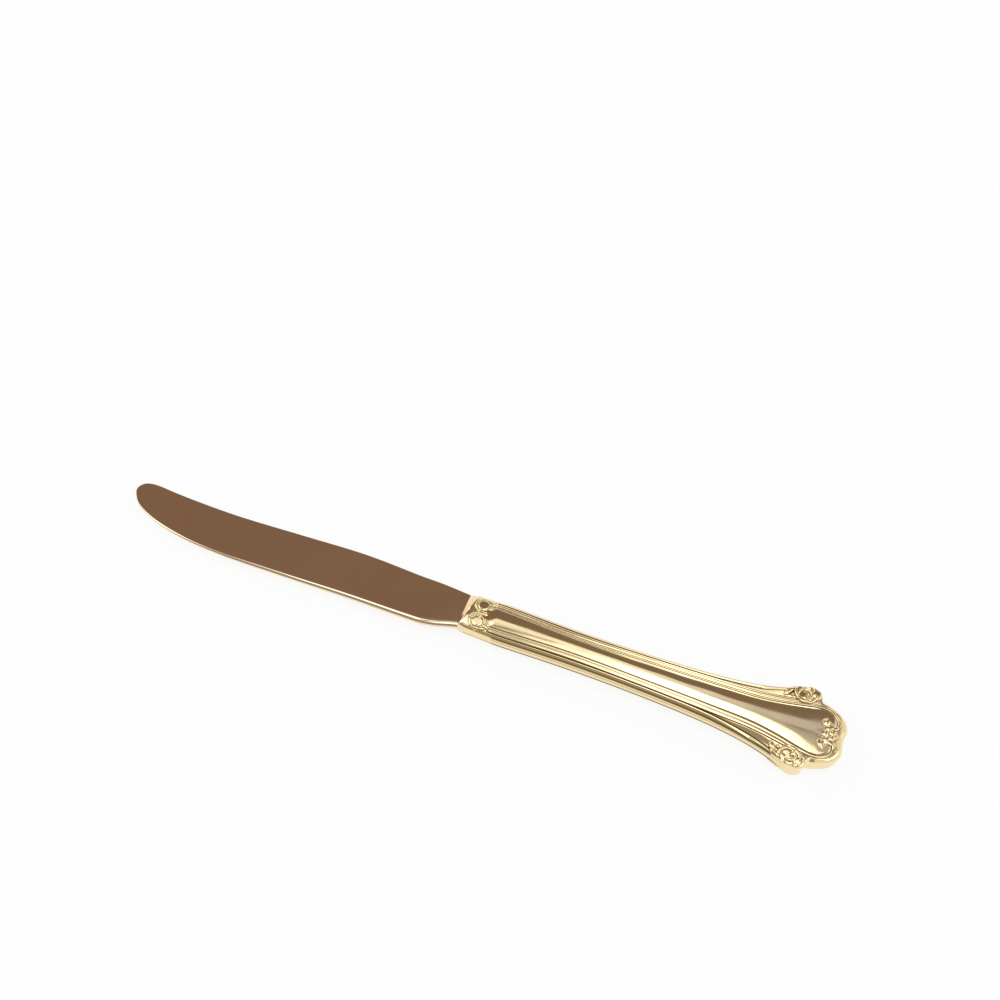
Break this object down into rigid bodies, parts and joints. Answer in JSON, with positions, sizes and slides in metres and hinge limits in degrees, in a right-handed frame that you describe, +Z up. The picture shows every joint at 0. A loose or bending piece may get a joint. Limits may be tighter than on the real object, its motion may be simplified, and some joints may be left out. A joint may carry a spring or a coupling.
{
  "type": "table knife",
  "caption": "Gold-plated table knife with a blunt curved blade and a hollow handle, threaded and scrolled, that widens to a bracket end with scroll ears and a small shell.",
  "frame": {"origin": "middle of the knife's length and width, on the surface that it lies on", "axes": "+X from the blade tip to the handle end, -Y the side of the cutting edge, +Z up with the knife lying flat"},
  "size_m": [0.2382, 0.0266, 0.0075],
  "materials": {
    "gold_plated_steel": "mirror polished, gold plated stainless steel",
    "gold_plated_brass": "polished gold plate on stamped brass",
    "gilt_solder": "filed flush and plated over",
    "resin_cement": "dull hardened resin"
  },
  "bodies": {
    "root": {"blade": "gold_plated_steel", "front_handle_shell": "gold_plated_brass", "back_handle_shell": "gold_plated_brass", "seam_solder": "gilt_solder", "handle_cement": "resin_cement"}
  },
  "joints": []
}
